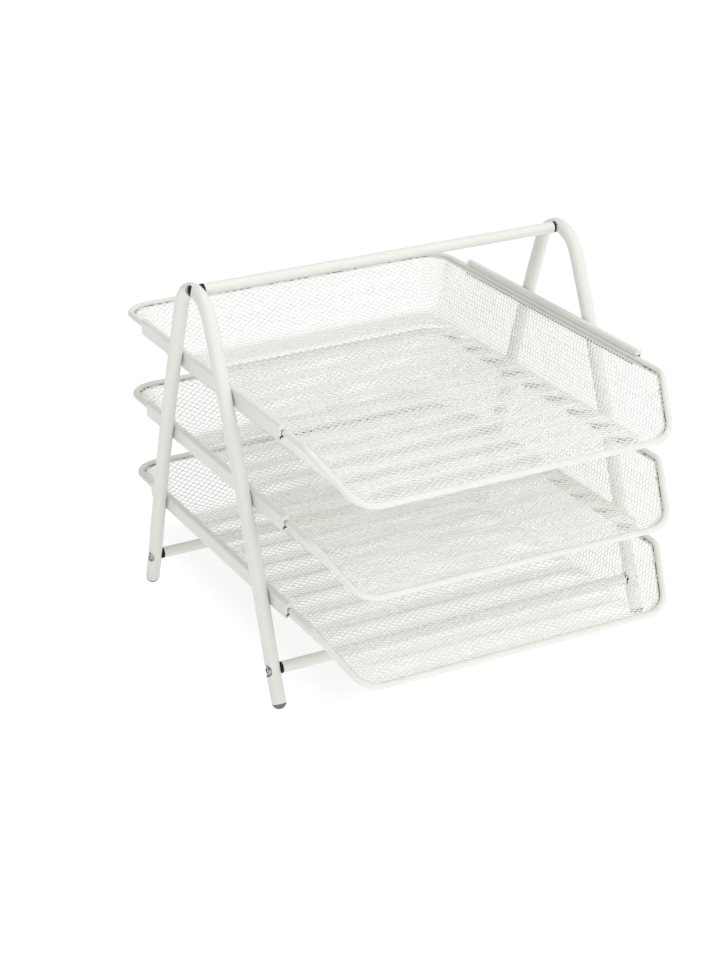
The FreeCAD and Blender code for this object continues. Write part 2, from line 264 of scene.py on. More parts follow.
class Finishes(bpy.types.PropertyGroup):
    """Colours of the finishes."""
    coat: FloatVectorProperty(
        name="White coat", description="Powder coat on the steel", subtype="COLOR",
        default=(0.71, 0.71, 0.672))
    # Painted light: the mesh has the same white coat as the steel, made lighter here
    mesh_painted_light_coat: FloatVectorProperty(
        name="Mesh coat", description="Powder coat on the mesh", subtype="COLOR",
        default=(0.92, 0.92, 0.881))
    chrome: FloatVectorProperty(
        name="Bright plate", description="Plating on the screws", subtype="COLOR",
        default=(0.36, 0.38, 0.42))
    # Painted dark reflection: the handle's screws are the same bright plate, darkened
    dark_plate: FloatVectorProperty(
        name="Dark plate", description="Plating on the handle's screws", subtype="COLOR",
        default=(0.03, 0.03, 0.032))
    black: FloatVectorProperty(
        name="Black plastic", description="Saddle spacers", subtype="COLOR",
        default=(0.006, 0.006, 0.006))
    # Painted shade for the crevice between hem and rod
    seam_shade: FloatVectorProperty(
        name="Bare steel", description="Crevice that the coat doesn't reach", subtype="COLOR",
        default=(0.03, 0.03, 0.028))
    # Painted shade on the rails' ledges under the rods
    track_shade: FloatVectorProperty(
        name="Worn steel", description="Track that the rods wear on the rails", subtype="COLOR",
        default=(0.38, 0.38, 0.37))
    grey: FloatVectorProperty(
        name="Grey plastic", description="Foot plugs", subtype="COLOR",
        default=(0.17, 0.17, 0.165))
    zinc: FloatVectorProperty(
        name="Zinc", description="Threaded inserts", subtype="COLOR",
        default=(0.55, 0.55, 0.53))


class StageForm(bpy.types.PropertyGroup):
    """Camera, light and floor."""
    azimuth: FloatProperty(
        name="Azimuth", description="Camera's way round from the front",
        default=math.radians(-26.845), subtype="ANGLE")
    elevation: FloatProperty(
        name="Elevation", description="Camera's height over the level", default=math.radians(22.932),
        subtype="ANGLE")
    roll: FloatProperty(
        name="Roll", description="Camera's turn about its view", default=math.radians(-1.195),
        subtype="ANGLE")
    distance: FloatProperty(
        name="Distance", description="Camera from its target", default=1.61165, unit="LENGTH")
    target: FloatVectorProperty(
        name="Target", description="Point on the camera's axis", default=(-0.01701, 0.01357, 0.11616),
        subtype="TRANSLATION")
    lens: FloatProperty(
        name="Lens", description="Focal length in millimetres", default=84.875)
    shift_x: FloatProperty(
        name="Shift across", description="In widths of the sensor", default=-0.00538)
    shift_y: FloatProperty(
        name="Shift up", description="In widths of the sensor", default=-0.02633)
    floor_size: FloatProperty(
        name="Floor", description="Side of the square floor", default=12.0, unit="LENGTH")
    floor_colour: FloatVectorProperty(
        name="Floor colour", description="Colour of the floor", subtype="COLOR",
        default=(0.92, 0.92, 0.92))
    shadow_share: FloatProperty(
        name="Shadow", description="How much of the lit floor the camera sees", default=0.3)
    shadow_middle: FloatVectorProperty(
        name="Shadow's middle", description="Middle of the part of the floor that shows the shadow",
        default=(0.0, 0.05, 0.0), subtype="TRANSLATION")
    shadow_reach: FloatVectorProperty(
        name="Shadow's reach", description="Half the size of that part", default=(0.113, 0.162, 0.0),
        subtype="TRANSLATION")
    shadow_fade: FloatProperty(
        name="Shadow's edge", description="Width over which the shadow fades", default=0.04, unit="LENGTH")
    floor_glow: FloatProperty(
        name="Floor glow", description="White that the camera sees of the floor", default=1.04)
    table_glow: FloatProperty(
        name="Table glow", description="Light that the floor gives of itself to the object", default=0.30)
    left_sky: FloatProperty(
        name="Sky at left", description="Strength of the even light from the left", default=0.46)
    right_sky: FloatProperty(
        name="Sky at right", description="Strength of the even light from the right", default=1.04)
    key_place: FloatVectorProperty(
        name="Key place", description="Middle of the right lamp", default=(0.56, -1.45, 1.56),
        subtype="TRANSLATION")
    key_light: FloatProperty(
        name="Key", description="Power of the right lamp", default=7.8, unit="POWER")
    fill_place: FloatVectorProperty(
        name="Fill place", description="Middle of the front lamp", default=(-1.05, -1.6, 0.5),
        subtype="TRANSLATION")
    fill_light: FloatProperty(
        name="Fill", description="Power of the front lamp", default=5.5, unit="POWER")
    top_place: FloatVectorProperty(
        name="Top place", description="Middle of the lamp overhead", default=(0.2, -0.1, 2.2),
        subtype="TRANSLATION")
    top_light: FloatProperty(
        name="Top", description="Power of the lamp overhead", default=8.0, unit="POWER")
    side_place: FloatVectorProperty(
        name="Side place", description="Middle of the left lamp",
        default=(-0.95, -0.8, 1.05), subtype="TRANSLATION")
    side_aim: FloatVectorProperty(
        name="Side aim", description="Where the left lamp points", default=(0.16, -0.02, 0.2),
        subtype="TRANSLATION")
    side_light: FloatProperty(
        name="Side", description="Power of the left lamp", default=0.08, unit="POWER")
    side_size: FloatProperty(
        name="Side size", description="Diameter of the left lamp", default=1 / 3, unit="LENGTH")
    side_spread: FloatProperty(
        name="Side spread", description="Spread of the left lamp's beam", default=math.radians(50),
        subtype="ANGLE")
    lamp_size: FloatProperty(
        name="Lamp size", description="Diameter of the other lamps", default=1.0, unit="LENGTH")


class TrayStack(bpy.types.PropertyGroup):
    """All settings of the stack."""
    basket: PointerProperty(type=BasketForm)
    rail: PointerProperty(type=RailForm)
    mesh: PointerProperty(type=MeshForm)
    screw: PointerProperty(type=ScrewForm)
    finish: PointerProperty(type=Finishes)
    stage: PointerProperty(type=StageForm)


def deselect():
    """Leaves nothing selected and no mode but object mode."""
    if bpy.context.object and bpy.context.object.mode != "OBJECT":
        bpy.ops.object.mode_set(mode="OBJECT")
    bpy.ops.object.select_all(action="DESELECT")


def pick(piece):
    """Makes a piece the only selected one, and active."""
    deselect()
    piece.select_set(True)
    bpy.context.view_layer.objects.active = piece


def edit(piece, select="SELECT"):
    """Opens a piece in edit mode with all of it selected, or none."""
    pick(piece)
    bpy.ops.object.mode_set(mode="EDIT")
    bpy.ops.mesh.select_all(action=select)


def done():
    """Back to object mode."""
    bpy.ops.object.mode_set(mode="OBJECT")


def add_object(name, data):
    """New object in the scene, at the origin."""
    item = bpy.data.objects.new(name, data)
    bpy.context.scene.collection.objects.link(item)
    return item


def apply_modifier(piece, kind, **settings):
    """Adds one modifier to a piece, sets it and applies it."""
    pick(piece)
    modifier = piece.modifiers.new(kind.title(), kind)
    for key, value in settings.items():
        setattr(modifier, key, value)
    bpy.ops.object.modifier_apply(modifier=modifier.name)


def paint(piece, material):
    """Gives a piece one material for all of it."""
    piece.data.materials.clear()
    piece.data.materials.append(material)


def dress(piece, body, nodes, material):
    """Paints a piece, hangs it on its body and hides the CAD nodes that it stands for."""
    paint(piece, material)
    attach(piece, body)
    if nodes:
        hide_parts(*nodes)


def node_body(node):
    """Name of the body that a CAD node is part of."""
    bodies = frame["record"]["behaviour"]["bodies"]
    return next(body for body, members in bodies.items() if node in members)


def smooth_copy(node):
    """Copy of a CAD node with its triangles joined, shaded smooth between its sharp edges."""
    piece = add_object(node + "_skin", frame["nodes"][node].data.copy())
    edit(piece)
    bpy.ops.mesh.remove_doubles(threshold=TINY)
    bpy.ops.mesh.customdata_custom_splitnormals_clear()
    done()
    bpy.ops.object.shade_smooth_by_angle(angle=CREASE)
    return piece


class Recipe:
    """Node tree of a new material or world, with short calls to add and join nodes."""

    def __init__(self, name, shader="Principled BSDF", place="Object", library="materials"):
        self.material = getattr(bpy.data, library).new(name)
        self.material.use_nodes = True
        self.tree = self.material.node_tree
        self.shader = self.tree.nodes[shader]
        self.place = self.add("ShaderNodeTexCoord").outputs[place]

    def add(self, kind, **settings):
        node = self.tree.nodes.new(kind)
        for key, value in settings.items():
            setattr(node, key, value)
        return node

    def join(self, output, target):
        self.tree.links.new(output, target)

    def noise(self, scale, detail):
        """Noise over the piece, with features of about one over scale metres."""
        node = self.add("ShaderNodeTexNoise")
        node.inputs["Scale"].default_value = scale
        node.inputs["Detail"].default_value = detail
        self.join(self.place, node.inputs["Vector"])
        return node.outputs["Fac"]

    def map_range(self, value, start, end, low, high):
        """Maps the values from start to end onto those from low to high, and no further."""
        node = self.add("ShaderNodeMapRange")
        node.inputs["From Min"].default_value = start
        node.inputs["From Max"].default_value = end
        node.inputs["To Min"].default_value = low
        node.inputs["To Max"].default_value = high
        self.join(value, node.inputs["Value"])
        return node

    def spread(self, value, low, high):
        """Spreads a noise over a range."""
        return self.map_range(value, NOISE_LOW, NOISE_HIGH, low, high).outputs["Result"]

    def combine(self, operation, one, other, clamp=False):
        """Result of a sum or another operation on two values."""
        node = self.add("ShaderNodeMath", operation=operation, use_clamp=clamp)
        self.join(one, node.inputs[0])
        self.join(other, node.inputs[1])
        return node.outputs["Value"]

    def axes(self, vector):
        """The X, Y and Z outputs of a vector."""
        node = self.add("ShaderNodeSeparateXYZ")
        self.join(vector, node.inputs["Vector"])
        return node.outputs

    def blend(self, value, start, end, first, last):
        """Base colour that goes from one colour to another between two values."""
        node = self.add("ShaderNodeValToRGB")
        stops = node.color_ramp.elements
        stops[0].position = start
        stops[1].position = end
        stops[0].color = [*first, 1]
        stops[1].color = [*last, 1]
        self.join(value, node.inputs["Fac"])
        self.join(node.outputs["Color"], self.shader.inputs["Base Color"])

    def tint(self, value, colour, change):
        """Varies the base colour a little by a noise, darker to lighter."""
        darker = [c * (1 - change) for c in colour]
        lighter = [min(c * (1 + change), 1) for c in colour]
        self.blend(value, NOISE_LOW, NOISE_HIGH, darker, lighter)

    def bump(self, value, distance, strength):
        node = self.add("ShaderNodeBump")
        node.inputs["Distance"].default_value = distance
        node.inputs["Strength"].default_value = strength
        self.join(value, node.inputs["Height"])
        self.join(node.outputs["Normal"], self.shader.inputs["Normal"])

    def rough(self, value, low, high):
        self.join(self.spread(value, low, high), self.shader.inputs["Roughness"])

    def mix(self, share, first, second):
        """Mix of two shaders, with a share of the second."""
        node = self.add("ShaderNodeMixShader")
        for output, target in zip((share, first, second), node.inputs):
            self.join(output, target)
        return node.outputs["Shader"]

    def show(self, lit, seen, end):
        """Ends the tree in one shader for the light on the pieces and another for the camera."""
        camera = self.add("ShaderNodeLightPath").outputs["Is Camera Ray"]
        self.join(self.mix(camera, lit, seen), self.tree.nodes[end].inputs["Surface"])


def powder_coat(name, colour):
    """White powder coat: faint orange peel, a soft sheen and a trace of unevenness."""
    recipe = Recipe(name)
    recipe.tint(recipe.noise(scale=30, detail=3), colour, change=0.006)
    recipe.rough(recipe.noise(scale=240, detail=2), low=0.33, high=0.38)
    recipe.bump(recipe.noise(scale=900, detail=2), distance=0.00001, strength=0.35)
    return recipe.material


def patchy_coat(name, finish, form):
    """Painted shade for the crevice between hem and rod: the coat's colour at the mesh's knots and here and
    there, dark between most of them and darker towards the front corners.
    """
    recipe = Recipe(name)
    knots = recipe.add("ShaderNodeTexWave", wave_type="BANDS", bands_direction="DIAGONAL")
    # the bands' own factor of ten is taken out, so that they come at the mesh's pitch
    knots.inputs["Scale"].default_value = 2 * math.pi / (10 * form.pitch_x)
    recipe.join(recipe.place, knots.inputs["Vector"])
    at_knots = recipe.spread(knots.outputs["Fac"], low=0, high=0.4)
    at_random = recipe.spread(recipe.noise(scale=110, detail=1), low=0, high=0.9)
    share = recipe.combine("ADD", at_knots, at_random, clamp=True)
    along = recipe.axes(recipe.place)["Y"]
    corner = recipe.map_range(along, start=-form.seam_darker_front, end=form.seam_darker_fade - form.seam_darker_front,
                              low=-0.15, high=0)
    coated = recipe.combine("ADD", share, corner.outputs["Result"])
    # painted shade: dark where the share is low, the coat's colour where it is high
    recipe.blend(coated, start=0.5, end=0.66, first=finish.seam_shade, last=finish.coat)
    recipe.rough(recipe.noise(scale=900, detail=2), low=0.5, high=0.7)
    return recipe.material


def bright_plate(name, colour):
    """Bright plating with a faint haze and fine turning marks."""
    recipe = Recipe(name)
    recipe.shader.inputs["Metallic"].default_value = 1
    recipe.tint(recipe.noise(scale=900, detail=2), colour, change=0.05)
    recipe.rough(recipe.noise(scale=1500, detail=3), low=0.1, high=0.22)
    recipe.bump(recipe.noise(scale=5000, detail=1), distance=0.00001, strength=0.2)
    return recipe.material


def moulded_plastic(name, colour, low, high):
    """Moulded plastic with a fine spark-eroded grain, its roughness between low and high."""
    recipe = Recipe(name)
    recipe.shader.inputs["Specular IOR Level"].default_value = 0.2
    recipe.tint(recipe.noise(scale=200, detail=3), colour, change=0.08)
    recipe.rough(recipe.noise(scale=800, detail=2), low, high)
    recipe.bump(recipe.noise(scale=3500, detail=2), distance=0.00004, strength=0.3)
    return recipe.material


def zinc_plate(name, colour):
    """Dull zinc with cloudy spangle."""
    recipe = Recipe(name)
    recipe.shader.inputs["Metallic"].default_value = 1
    recipe.tint(recipe.noise(scale=600, detail=3), colour, change=0.15)
    recipe.rough(recipe.noise(scale=900, detail=3), low=0.3, high=0.5)
    recipe.bump(recipe.noise(scale=2500, detail=2), distance=0.00002, strength=0.3)
    return recipe.material


class BasketSurface:
    """Middle surface of a basket as heights over the level, from the same form as the frame's."""

    def __init__(self, form):
        self.form = form
        self.floor = -form.depth - SHEET / 2
        self.slopes = {
            "side": math.tan(form.side_lean),
            "rear": math.tan(form.rear_lean),
            "front": math.tan(form.front_lean),
        }
        # where each wall's plane passes the rim's level
        self.side_x = RIM_X - form.inset / math.cos(form.side_lean)
        self.rear_y = RIM_Y - form.inset / math.cos(form.rear_lean)
        self.front_y = RIM_Y + FRONT_DROP * self.slopes["front"] - form.inset / math.cos(form.front_lean)
        # the floor's sharp edges
        self.floor_x = self.side_x + self.floor * self.slopes["side"]
        self.floor_rear = self.rear_y + self.floor * self.slopes["rear"]
        self.floor_front = self.front_y + self.floor * self.slopes["front"]
        self.bead_crown = (form.bead_width ** 2 / 4 + form.bead_height ** 2) / (2 * form.bead_height)
        self.bead_end = self.floor_x - form.bead_margin

    def reach(self, slope):
        """From a floor edge to where the fillet starts, for a wall with that tangent of its lean."""
        return self.form.fillet * math.tan((math.pi / 2 - math.atan(slope)) / 2)

    def fold(self, flat, edge, slope):
        """Level distance of a point of the flat sheet, after the wall past edge is folded up."""
        reach = self.reach(slope)
        lean = math.atan(slope)
        past = abs(flat) - edge
        if past <= -reach:
            level = abs(flat)
        elif past >= reach:
            level = edge + past * math.sin(lean)
        else:
            turn = (past + reach) / (2 * reach) * (math.pi / 2 - lean)
            level = edge - reach + self.form.fillet * math.sin(turn)
        return math.copysign(level, flat)

    def flat_end(self, edge, slope):
        """Flat distance of a wall's top, with some to spare for trimming."""
        return edge + SPARE * (self.form.depth + SHEET) / math.cos(math.atan(slope))

    def wall(self, x, y):
        """Height of the sharp wall over a point, and the tangent of its lean there."""
        form = self.form
        if y > 0:
            end_y, end_slope = self.rear_y, self.slopes["rear"]
            radius, flare = form.rear_radius - form.inset, form.rear_flare
        else:
            end_y, end_slope = self.front_y, self.slopes["front"]
            radius, flare = form.front_radius - form.inset, form.front_flare
        side_slope = self.slopes["side"]
        a = abs(x) - self.side_x + radius
        b = flare - side_slope
        c = abs(y) - end_y + radius
        d = flare - end_slope
        # height at which the level outline's corner arc passes through the point
        square = b * b + d * d - flare * flare
        half = a * b + c * d - radius * flare
        rest = a * a + c * c - radius * radius
        root = half * half - square * rest
        if root > 0:
            height = (-half - math.sqrt(root)) / square
            across, along = a + b * height, c + d * height
            if across > 0 and along > 0:
                size = math.hypot(across, along)
                slope = (-b * across - d * along) / size + flare
                return height, slope
        side = (abs(x) - self.side_x) / side_slope
        end = (abs(y) - end_y) / end_slope
        return (side, side_slope) if side > end else (end, end_slope)

    def bead(self, x, y):
        """Height of the floor's beads over the floor."""
        form = self.form
        number = round((y + RIM_Y - form.bead_start) / form.bead_pitch)
        number = min(max(number, 0), form.bead_count - 1)
        away = abs(y + RIM_Y - form.bead_start - number * form.bead_pitch)
        if away >= form.bead_width / 2:
            return 0
        crown = math.sqrt(self.bead_crown ** 2 - away ** 2) - self.bead_crown + form.bead_height
        rise = (self.bead_end - abs(x)) * form.bead_height / form.bead_taper
        return max(min(crown, rise), 0)

    def height(self, x, y):
        """Height of the basket over a point, with the fillet round the floor and the beads on it."""
        top, slope = self.wall(x, y)
        past = (top - self.floor) * slope
        reach = self.reach(slope)
        if past >= reach * math.sin(math.atan(slope)):
            return top
        beaded = self.floor + self.bead(x, y)
        if past <= -reach:
            return beaded
        radius = self.form.fillet
        return max(beaded, self.floor + radius - math.sqrt(radius ** 2 - (past + reach) ** 2))

    def normal(self, x, y):
        """Direction square to the sheet over a point, into the basket."""
        here = self.height(x, y)
        across = self.height(x + STEP, y) - here
        along = self.height(x, y + STEP) - here
        return Vector((-across, -along, STEP)).normalized()

    def point(self, u, v):
        """Place of a point of the flat sheet on the folded basket."""
        x = self.fold(u, self.floor_x, self.slopes["side"])
        if v > 0:
            y = self.fold(v, self.floor_rear, self.slopes["rear"])
        else:
            y = self.fold(v, self.floor_front, self.slopes["front"])
        return (x, y, RIM_Z + self.height(x, y))


def diamond_sheet(surface, form):
    """Flat sheet of diamonds, folded into the basket's form."""
    half_x = surface.flat_end(surface.floor_x, surface.slopes["side"])
    rear = surface.flat_end(surface.floor_rear, surface.slopes["rear"])
    front = surface.flat_end(surface.floor_front, surface.slopes["front"])
    columns = 2 * math.ceil(half_x / form.pitch_x)
    rows = math.ceil((rear + front) / form.pitch_y)
    deselect()
    bpy.ops.mesh.primitive_grid_add(x_subdivisions=columns, y_subdivisions=rows, size=1)
    sheet = bpy.context.active_object
    bpy.ops.object.mode_set(mode="EDIT")
    bpy.ops.mesh.poke()
    bpy.ops.mesh.select_mode(type="EDGE")
    bpy.ops.mesh.select_all(action="DESELECT")
    done()
    for edge in sheet.data.edges:
        a, b = (sheet.data.vertices[i].co for i in edge.vertices)
        edge.select = abs(a.x - b.x) < TINY or abs(a.y - b.y) < TINY
    bpy.ops.object.mode_set(mode="EDIT")
    bpy.ops.mesh.dissolve_edges(use_verts=False)
    done()
    for vertex in sheet.data.vertices:
        u = vertex.co.x * columns * form.pitch_x
        v = vertex.co.y * rows * form.pitch_y + (rear - front) / 2
        vertex.co = surface.point(u, v)
    return sheet


def trim(piece, offset, clear):
    """Cuts a basket along its rim, offset from the rim's centre line, and clears what lies above."""
    form = bpy.context.scene.tray_stack.basket
    slope = math.atan2(FRONT_DROP, form.front_reach)
    bend = Vector((0, form.front_reach - RIM_Y, RIM_Z + offset))
    for normal in (Vector((0, 0, 1)), Vector((0, -math.sin(slope), math.cos(slope)))):
        edit(piece)
        bpy.ops.mesh.bisect(plane_co=bend, plane_no=normal, clear_outer=clear)
        done()


def above_rim(point, offset, form):
    """Whether a point lies above the rim's centre line plus offset."""
    slope = FRONT_DROP / form.front_reach
    bend_y = form.front_reach - RIM_Y
    return point.z > RIM_Z + offset + min((point.y - bend_y) * slope, 0)


def split_off(piece, name, test):
    """Moves the faces whose middle passes a test into a piece of their own."""
    before = set(bpy.data.objects)
    edit(piece, "DESELECT")
    bpy.ops.mesh.select_mode(type="FACE")
    done()
    for face in piece.data.polygons:
        face.select = test(face.center)
    bpy.ops.object.mode_set(mode="EDIT")
    bpy.ops.mesh.separate(type="SELECTED")
    done()
    part = next(o for o in bpy.data.objects if o not in before)
    part.name = name
    return part


def strands(piece, form, surface):
    """Turns a sheet of diamonds into the strands of expanded mesh, deepened square to the sheet."""
    apply_modifier(piece, "WIREFRAME", thickness=form.strand, offset=0, use_even_offset=True,
                   use_relative_offset=False, use_boundary=True, use_replace=True)
    deeper = (form.strand_depth - form.strand) / 2
    for vertex in piece.data.vertices:
        x, y, z = vertex.co
        level = RIM_Z + surface.height(x, y)
        vertex.co += surface.normal(x, y) * math.copysign(deeper, z - level)
    bpy.ops.object.shade_smooth()


def rod_seam(sheet, form, basket):
    """Narrow seam in the crevice between the hem and the rod, cut from a copy of the sheet, that carries
    painted shade.
    """
    band = add_object("band", sheet.data.copy())
    foot = -form.edge - form.seam_foot
    trim(band, form.seam_top - form.edge, True)
    trim(band, foot, False)
    seam = split_off(band, "seam", lambda p: above_rim(p, foot, basket))
    bpy.data.objects.remove(band)
    # the sheet faces inwards, so the seam lies behind it
    apply_modifier(seam, "SOLIDIFY", thickness=form.seam_depth, offset=form.seam_offset,
                   use_even_offset=True)
    bpy.ops.object.shade_smooth_by_angle(angle=SHEET_CREASE)
    return seam


class TRAYS_OT_mesh_baskets(bpy.types.Operator):
    """Expanded mesh baskets, with a plain hem under the rim"""
    bl_idname = "trays.mesh_baskets"
    bl_label = "Mesh baskets"

    def execute(self, context):
        settings = context.scene.tray_stack
        form = settings.mesh
        surface = BasketSurface(settings.basket)
        # the white coat made lighter on the mesh, as painted light
        mesh_painted_light_coat = powder_coat("white_mesh_coat", settings.finish.mesh_painted_light_coat)
        hem_coat = powder_coat("white_hem_coat", settings.finish.coat)
        # painted shade for the seam in the crevice under the rod
        seam_shade = patchy_coat("patchy_coat", settings.finish, form)
        sheet = diamond_sheet(surface, form)
        seam = rod_seam(sheet, form, settings.basket)
        filled = split_off(
            seam, "filled", lambda p: abs(p.x) > form.filled_side and p.y > -form.filled_front)
        trim(sheet, -form.edge, True)
        trim(sheet, -form.hem, False)
        hem = split_off(sheet, "hem", lambda p: above_rim(p, -form.hem, settings.basket))
        apply_modifier(hem, "SOLIDIFY", thickness=form.hem_sheet, offset=0, use_even_offset=True)
        bpy.ops.object.shade_smooth_by_angle(angle=SHEET_CREASE)
        strands(sheet, form, surface)
        parts = ((sheet, "basket", mesh_painted_light_coat), (hem, "hem", hem_coat), (seam, "seam", seam_shade),
                 (filled, "filled_seam", hem_coat))
        for tier in TIERS:
            lift = Matrix.Translation((0, 0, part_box(tier + "_tray_rim")[1].z - rim_high.z))
            for source, part, finish in parts:
                piece = add_object(tier + "_mesh_" + part, source.data.copy())
                piece.data.transform(lift)
                nodes = [tier + "_tray_basket"] if part == "basket" else []
                dress(piece, tier + "_tray", nodes, finish)
        for source in (sheet, hem, seam, filled):
            bpy.data.objects.remove(source)
        return {"FINISHED"}


def lower_lip(piece, level, drop):
    """Brings the lower edge of a rail's lip closer to the rod under it."""
    for vertex in piece.data.vertices:
        if abs(vertex.co.z - level) < RAIL_LIP / 10:
            vertex.co.z -= drop


def shade_rail_track(piece, node, form, finish):
    """Paints shade on the ledge of a rail under the rod, its top face and inner edge, seen dark through the
    mesh's first openings.
    """
    low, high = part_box(node)
    level = low.z + form.sheet
    inward = -1 if high.x > 0 else 1
    piece.data.materials.append(finish)
    for face in piece.data.polygons:
        on_top = abs(face.center.z - level) < STEP and face.normal.z > FACING
        on_edge = face.center.z < level and face.normal.x * inward > FACING
        if on_top or on_edge:
            face.material_index = 1


def block(across, along, heights, bevel):
    """Box between pairs of limits, with bevelled edges."""
    bpy.ops.mesh.primitive_cube_add(size=1)
    box = bpy.context.active_object
    for vertex in box.data.vertices:
        vertex.co = [limits[side > 0] for limits, side in zip((across, along, heights), vertex.co)]
    apply_modifier(box, "BEVEL", width=bevel, segments=2)
    return box


def rail_trim(node, rod_top, form):
    """Tabs that close a rail's two ends over the rod, and the square foot of its web."""
    low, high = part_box(node)
    web, inward = (high.x, -1) if high.x > 0 else (low.x, 1)
    across = sorted((web + inward * form.sheet / 2, web + inward * (form.top_width - form.sheet / 2)))
    heights = (rod_top + form.tab_gap, high.z - form.sheet / 2)
    deselect()
    blocks = []
    for end in ((low.y + form.tab_gap, low.y + form.sheet), (high.y - form.sheet, high.y - form.tab_gap)):
        blocks.append(block(across, end, heights, form.tab_bevel))
    across = sorted((web - inward * form.foot_proud, web + inward * form.sheet))
    heights = (low.z - form.foot_drop, low.z + form.foot_height)
    blocks.append(block(across, (low.y, high.y), heights, form.foot_proud))
    for part in blocks:
        part.select_set(True)
    bpy.ops.object.join()
    joined = bpy.context.active_object
    joined.name = node + "_trim"
    return joined


class TRAYS_OT_coated_steel(bpy.types.Operator):
    """Side frames, bars, rails and tray rims in white powder coat"""
    bl_idname = "trays.coated_steel"
    bl_label = "Coated steel"

    def execute(self, context):
        settings = context.scene.tray_stack
        coat = powder_coat("white_coat", settings.finish.coat)
        # painted shade on the rails' ledges, seen through the mesh's first openings
        track_shade = zinc_plate("worn_track", settings.finish.track_shade)
        nodes = [side + "_side_frame" for side in SIDES]
        nodes += ["handle_bar", "front_cross_bar", "rear_cross_bar"]
        nodes += [tier + "_" + side + "_rail" for tier in TIERS for side in SIDES]
        nodes += [tier + "_tray_rim" for tier in TIERS]
        for node in nodes:
            piece = smooth_copy(node)
            dress(piece, node_body(node), [node], coat)
            if node.endswith("_rail"):
                lower_lip(piece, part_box(node)[1].z - RAIL_LIP, settings.rail.lip_drop)
                shade_rail_track(piece, node, settings.rail, track_shade)
                rod_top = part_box(node.split("_")[0] + "_tray_rim")[1].z
                dress(rail_trim(node, rod_top, settings.rail), "frame", [], coat)
        return {"FINISHED"}


class TRAYS_OT_plastic_fittings(bpy.types.Operator):
    """Black saddle spacers and grey foot plugs"""
    bl_idname = "trays.plastic_fittings"
    bl_label = "Plastic fittings"

    def execute(self, context):
        finish = context.scene.tray_stack.finish
        black = moulded_plastic("black_plastic", finish.black, low=0.45, high=0.6)
        grey = moulded_plastic("grey_plastic", finish.grey, low=0.4, high=0.55)
        for side in SIDES:
            for bar in BARS:
                node = bar + "_" + side + "_spacer"
                dress(smooth_copy(node), "frame", [node], black)
            for end in ENDS:
                node = end + "_" + side + "_foot"
                dress(smooth_copy(node), "frame", [node], grey)
        return {"FINISHED"}


class TRAYS_OT_inserts(bpy.types.Operator):
    """Zinc-plated threaded inserts inside the bars"""
    bl_idname = "trays.inserts"
    bl_label = "Inserts"

    def execute(self, context):
        zinc = zinc_plate("zinc_plate", context.scene.tray_stack.finish.zinc)
        for side in SIDES:
            for bar in BARS:
                node = bar + "_" + side + "_insert"
                dress(smooth_copy(node), "frame", [node], zinc)
        return {"FINISHED"}


def screw_blank(form, length):
    """Screw turned about the X axis, with its seat at the origin and its head towards +X."""
    crown = form.head_height - form.head_rim
    crown_radius = (form.head_radius ** 2 + crown ** 2) / (2 * crown)
    half_angle = math.asin(form.head_radius / crown_radius)
    profile = []
    for i in range(DOME_STEPS + 1):
        angle = half_angle * i / DOME_STEPS
        profile.append((form.head_height - crown_radius * (1 - math.cos(angle)),
                        crown_radius * math.sin(angle)))
    profile += [(0, form.head_radius), (0, form.shank_radius)]
    turns = int(length / form.thread_pitch) - PLAIN_TURNS
    for i in range(turns):
        crest = -(i + 1) * form.thread_pitch
        profile.append((crest, form.shank_radius))
        profile.append((crest - form.thread_pitch / 2, form.shank_radius - form.thread_depth))
    profile += [(-length, form.shank_radius - form.thread_depth), (-length, 0)]
    mesh = bpy.data.meshes.new("screw")
    mesh.from_pydata([(x, r, 0) for x, r in profile], [(i, i + 1) for i in range(len(profile) - 1)], [])
    blank = add_object("screw", mesh)
    edit(blank)
    bpy.ops.mesh.spin(steps=ROUND_STEPS, angle=2 * math.pi, center=(0, 0, 0), axis=(1, 0, 0))
    bpy.ops.mesh.select_all(action="SELECT")
    bpy.ops.mesh.remove_doubles(threshold=TINY)
    bpy.ops.mesh.normals_make_consistent(inside=False)
    done()
    return blank


def cross_cutter(form):
    """Tapered cross that presses the recess into a screw's head."""
    deselect()
    wings = []
    for turn in (0, math.pi / 2):
        bpy.ops.mesh.primitive_cube_add(size=1)
        wing = bpy.context.active_object
        for vertex in wing.data.vertices:
            at_foot = vertex.co.x < 0
            height = form.head_height + (-form.recess_depth if at_foot else form.cutter_reach)
            across = vertex.co.y * (form.recess_foot if at_foot else form.recess_mouth)
            thick = vertex.co.z * form.recess_width
            vertex.co = Matrix.Rotation(turn, 3, "X") @ Vector((height, across, thick))
        wings.append(wing)
    first, second = wings
    apply_modifier(first, "BOOLEAN", operation="UNION", object=second, solver="EXACT")
    bpy.data.objects.remove(second)
    return first


